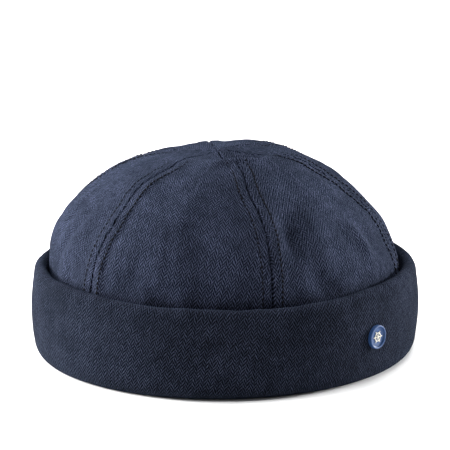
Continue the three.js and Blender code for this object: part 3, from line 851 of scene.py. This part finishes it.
def rounded(points, radius, steps=4):
    """An outline with each inner corner rounded off."""
    made = [points[0]]
    for before, corner, after in zip(points, points[1:], points[2:]):
        b, c, a = Vector(before), Vector(corner), Vector(after)
        reach = min(radius, (b - c).length / 2, (a - c).length / 2)
        start, end = c + (b - c).normalized() * reach, c + (a - c).normalized() * reach
        for k in range(steps + 1):
            t = k / steps
            made.append(tuple((1 - t) ** 2 * start + 2 * t * (1 - t) * c + t ** 2 * end))
    made.append(points[-1])
    return made


def badge_outline():
    back = -(CUFF_WALL + 3 * PIECE_GAP)
    radius, front = BADGE["radius"], BADGE["thickness"]
    floor_level = front - BADGE["recess"]
    return rounded([
        (0, back - RIVET["head_thickness"]),
        (RIVET["head"], back - RIVET["head_thickness"]),
        (RIVET["head"], back),
        (RIVET["radius"], back),
        (RIVET["radius"], 0),
        (radius, 0),
        (radius, front),
        (radius - BADGE["rim"], front),
        (radius - BADGE["rim"] - BADGE["rounding"], floor_level),
        (0, floor_level),
    ], BADGE["rounding"])


seat = badge_seat()
badge_mesh = turned("enamel_badge", badge_outline(), BADGE["sides"])
badge_mesh.transform(seat)
enamel_badge = put_in_scene("enamel_badge", badge_mesh)
badge_mesh.materials.append(enamel("navy_stoving_enamel", "#1f3c66", "#29497a"))
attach(enamel_badge, "root")
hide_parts("badge")


def wheel_tree():
    """A ship's wheel that lies in its own plane: a ring, a domed hub, and turned spokes with handles."""
    tree = bpy.data.node_groups.new("ships_wheel", "GeometryNodeTree")
    names = input_sockets(tree, [
        ("Mesh", "NodeSocketGeometry"), ("Ring", "NodeSocketFloat"), ("Hub", "NodeSocketFloat"),
        ("Bar", "NodeSocketFloat"), ("Reach", "NodeSocketFloat"), ("Spokes", "NodeSocketInt"),
        ("Flatness", "NodeSocketFloat"), ("Inlay", "NodeSocketMaterial"),
    ])
    given = add_node(tree, "NodeGroupInput").outputs
    circle = "GeometryNodeCurvePrimitiveCircle"
    section = add_node(tree, circle, {}, {"Resolution": 10, "Radius": given["Bar"]})
    ring = add_node(tree, circle, {}, {"Resolution": 48, "Radius": given["Ring"]})
    ring = add_node(tree, "GeometryNodeCurveToMesh", {}, {"Curve": ring, "Profile Curve": section})
    hub = add_node(tree, "GeometryNodeMeshUVSphere", {}, {
        "Segments": 24, "Rings": 12, "Radius": given["Hub"],
    })
    start = add_node(tree, "ShaderNodeCombineXYZ")
    end = add_node(tree, "ShaderNodeCombineXYZ", {}, {0: given["Reach"]})
    spoke = add_node(tree, "GeometryNodeCurvePrimitiveLine", {}, {"Start": start, "End": end})
    spoke = add_node(tree, "GeometryNodeResampleCurve", {}, {"Curve": spoke, "Count": 24})
    # The spokes swell and narrow along themselves, like turned wood
    part = add_node(tree, "GeometryNodeSplineParameter")
    swell = add_node(tree, "ShaderNodeMath", {"operation": "MULTIPLY"}, {0: part, 1: 4.4 * math.pi})
    swell = add_node(tree, "ShaderNodeMath", {"operation": "COSINE"}, {0: swell})
    swell = add_node(tree, "ShaderNodeMath", {"operation": "MULTIPLY_ADD"}, {0: swell, 1: 0.18, 2: 0.8})
    spoke = add_node(tree, "GeometryNodeSetCurveRadius", {}, {"Curve": spoke, "Radius": swell})
    spoke = add_node(tree, "GeometryNodeCurveToMesh", {}, {
        "Curve": spoke, "Profile Curve": section, "Fill Caps": True,
    })
    middle = add_node(tree, "GeometryNodeMeshLine", {}, {"Count": given["Spokes"], "Offset": (0, 0, 0)})
    number = add_node(tree, "GeometryNodeInputIndex")
    turn = add_node(tree, "ShaderNodeMath", {"operation": "DIVIDE"}, {0: 2 * math.pi, 1: given["Spokes"]})
    turn = add_node(tree, "ShaderNodeMath", {"operation": "MULTIPLY"}, {0: turn, 1: number})
    turn = add_node(tree, "ShaderNodeCombineXYZ", {}, {2: turn})
    spokes = add_node(tree, "GeometryNodeInstanceOnPoints", {}, {
        "Points": middle, "Instance": spoke, "Rotation": turn,
    })
    whole = add_node(tree, "GeometryNodeJoinGeometry", {}, {0: ring})
    for part_made in (hub, spokes):
        tree.links.new(part_made.outputs[0], whole.inputs[0])
    size = add_node(tree, "ShaderNodeCombineXYZ", {}, {0: 1.0, 1: 1.0, 2: given["Flatness"]})
    whole = add_node(tree, "GeometryNodeTransform", {}, {"Geometry": whole, "Scale": size})
    solid = add_node(tree, "GeometryNodeRealizeInstances", {}, {0: whole})
    done = add_node(tree, "GeometryNodeSetMaterial", {}, {"Geometry": solid, "Material": given["Inlay"]})
    add_node(tree, "NodeGroupOutput", {}, {0: done})
    return tree, names


cream = enamel("cream_stoving_enamel", "#d6d3c8", "#bdb9aa")
wheel_nodes, wheel_names = wheel_tree()
empty = bpy.data.meshes.new("wheel_centre")
wheel = grown("wheel_inlay", empty, wheel_nodes, wheel_names, {
    "Ring": (WHEEL["ring"] - WHEEL["bar"] / 2) * MM, "Hub": WHEEL["hub"] * MM, "Bar": WHEEL["bar"] / 2 * MM,
    "Reach": WHEEL["reach"] * MM, "Spokes": WHEEL["spokes"], "Flatness": 0.8, "Inlay": cream,
})
wheel_height = BADGE["thickness"] - BADGE["recess"] + WHEEL["thickness"] / 2
wheel.data.transform(seat @ Matrix.Translation((0, 0, wheel_height * MM)))
wheel.data.shade_smooth()
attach(wheel, "root")
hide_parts("badge_wheel")

# Floor
# A white paper floor, matt and even, far wider than the picture.


def paper(name):
    material, tree = bare_material(name)
    shader = add_node(tree, "ShaderNodeBsdfPrincipled", {}, {
        "Base Color": linear("#f6f6f6"), "Roughness": 0.95, "Specular IOR Level": 0.1,
    })
    add_node(tree, "ShaderNodeOutputMaterial", {}, {"Surface": shader})
    return material


floor_mesh = bpy.data.meshes.new("floor")
half_floor = 6.0
corners = [(x * half_floor, y * half_floor, 0) for x, y in ((-1, -1), (1, -1), (1, 1), (-1, 1))]
floor_mesh.from_pydata(corners, [], [(0, 1, 2, 3)])
floor = put_in_scene("floor", floor_mesh)
floor_mesh.materials.append(paper("white_paper"))

# Light
# A pale room, a wide soft light above, two softboxes on the left, of which the lower one grazes the cap
# from behind, and a weaker low one on the right, so that the cap is brightest at its left and darkest in
# front.

world = bpy.data.worlds.new("studio")
bpy.context.scene.world = world
world.use_nodes = True
world.node_tree.nodes["Background"].inputs["Color"].default_value = (0.95, 0.97, 1, 1)
world.node_tree.nodes["Background"].inputs["Strength"].default_value = 0.24

VIEW_AZIMUTH, VIEW_ELEVATION = math.radians(45), math.radians(14.3)
LIGHTS_AIM = Vector((0, 0, 0.06))


def softbox(name, azimuth, elevation, distance, size, power):
    """An area light that faces the cap, its azimuth counted from the camera's."""
    light = bpy.data.lights.new(name, "AREA")
    light.shape, light.size, light.size_y, light.energy = "RECTANGLE", size[0], size[1], power
    lamp = put_in_scene(name, light)
    a, e = VIEW_AZIMUTH + math.radians(azimuth), math.radians(elevation)
    away = Vector((math.sin(a) * math.cos(e), -math.cos(a) * math.cos(e), math.sin(e)))
    lamp.location = away * distance + LIGHTS_AIM
    lamp.rotation_euler = (-away).to_track_quat("-Z", "Y").to_euler()


softbox("light_above", 180, 78, 1.5, (1.6, 1.6), 46)
softbox("light_left", -85, 38, 1.2, (0.6, 0.5), 18)
softbox("light_low_left", -108, 8, 1.2, (0.5, 0.22), 46)
softbox("light_low_right", 112, 8, 1.2, (0.5, 0.22), 30)

# Camera
# At the photograph's angle, with a long lens.

ORBIT_CENTRE, CAMERA_DISTANCE = Vector((0, 0, 0.0576)), 1.344
AIM = Vector((-0.0002, -0.0002, 0.0689))
camera_data = bpy.data.cameras.new("camera")
camera_data.lens, camera_data.sensor_width = 192.6, 36
camera = put_in_scene("camera", camera_data)
back = Vector((
    math.sin(VIEW_AZIMUTH) * math.cos(VIEW_ELEVATION),
    -math.cos(VIEW_AZIMUTH) * math.cos(VIEW_ELEVATION),
    math.sin(VIEW_ELEVATION),
))
camera.location = ORBIT_CENTRE + back * CAMERA_DISTANCE
camera.rotation_euler = (AIM - camera.location).to_track_quat("-Z", "Y").to_euler()
bpy.context.scene.camera = camera
bpy.context.scene.view_settings.view_transform = "Standard"
